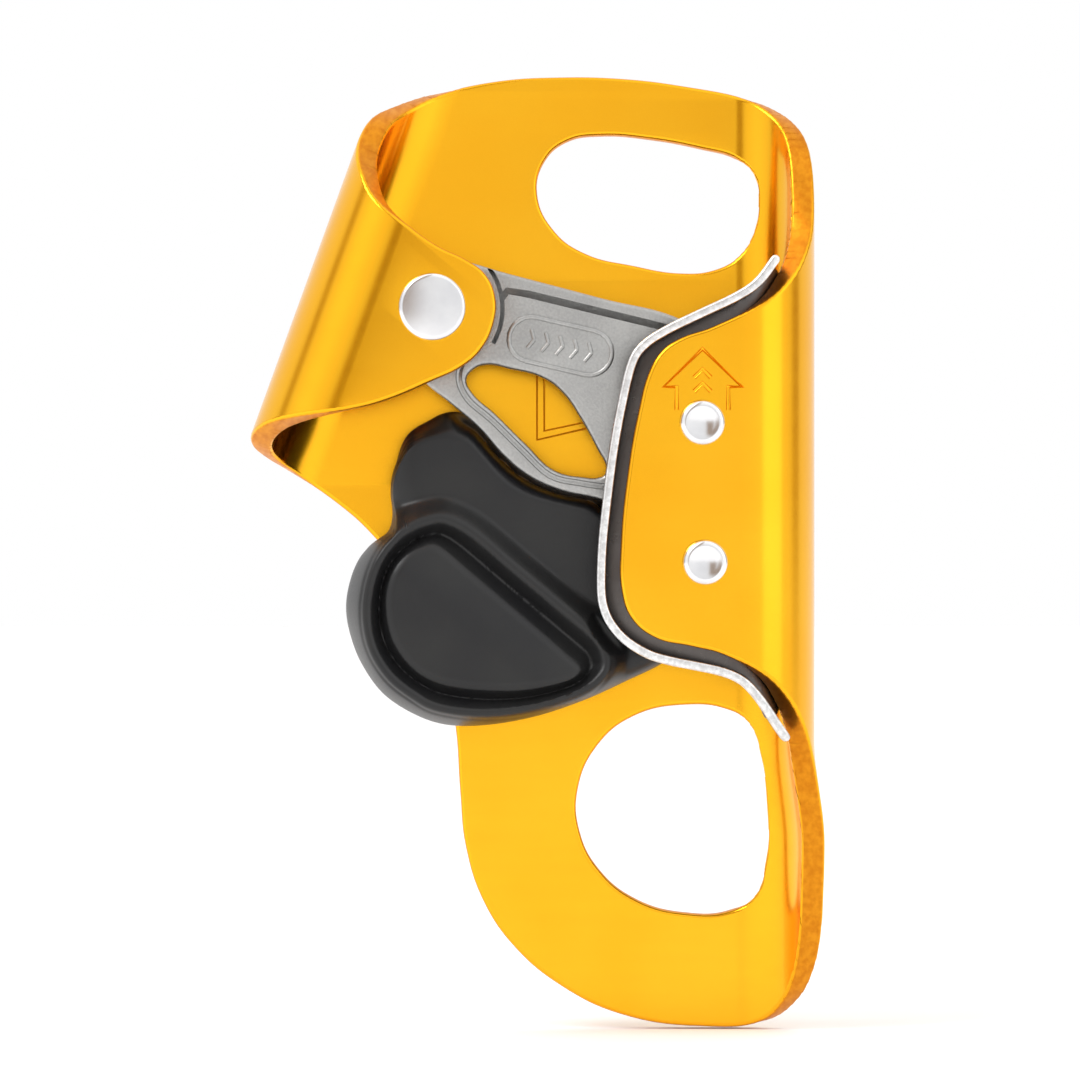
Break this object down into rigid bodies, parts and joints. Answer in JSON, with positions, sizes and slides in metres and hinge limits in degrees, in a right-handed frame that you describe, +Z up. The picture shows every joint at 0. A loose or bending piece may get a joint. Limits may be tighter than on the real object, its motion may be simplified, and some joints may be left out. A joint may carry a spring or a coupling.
{
  "type": "ascender",
  "caption": "Compact chest ascender: folded aluminium frame with two eyes and a rope channel, sprung toothed cam and thumb catch.",
  "frame": {"origin": "centre of the lower eye on the rear face of the back plate", "axes": "+Z up the rope, +X right seen from the front, the front looks along -Y"},
  "size_m": [0.063, 0.0189, 0.1053],
  "materials": {
    "frame_gold": "gold anodised, satin, tumbled edges",
    "liner_steel": "stamped, polished cut edge",
    "rivet_steel": "polished",
    "cam_steel": "cast and bead blasted",
    "spring_steel": "drawn wire",
    "catch_plastic": "satin moulded"
  },
  "bodies": {
    "frame_body": {"frame": "frame_gold", "wear_plate": "liner_steel", "wear_rivet_upper": "rivet_steel", "wear_rivet_lower": "rivet_steel", "cam_axle": "rivet_steel", "thrust_washer_front": "rivet_steel", "thrust_washer_rear": "rivet_steel", "cam_spring": "spring_steel"},
    "cam_body": {"cam": "cam_steel", "catch_pin": "rivet_steel", "catch_spring": "spring_steel"},
    "catch_body": {"safety_catch": "catch_plastic"}
  },
  "joints": [
    {"name": "cam_pivot", "type": "hinge", "parent": "frame_body", "child": "cam_body", "pos_m": [-0.0263, -0.0088, 0.055], "axis": [0, 1, 0], "range_deg": [0, 36], "stiffness_Nm_per_rad": 0.03, "springref_deg": -20.05, "deforming": ["cam_spring"]},
    {"name": "catch_pivot", "type": "hinge", "parent": "cam_body", "child": "catch_body", "pos_m": [-0.00276, -0.0088, 0.02604], "axis": [0, -1, 0], "range_deg": [0, 8], "stiffness_Nm_per_rad": 0.01, "springref_deg": -28.65, "deforming": ["catch_spring"]}
  ]
}
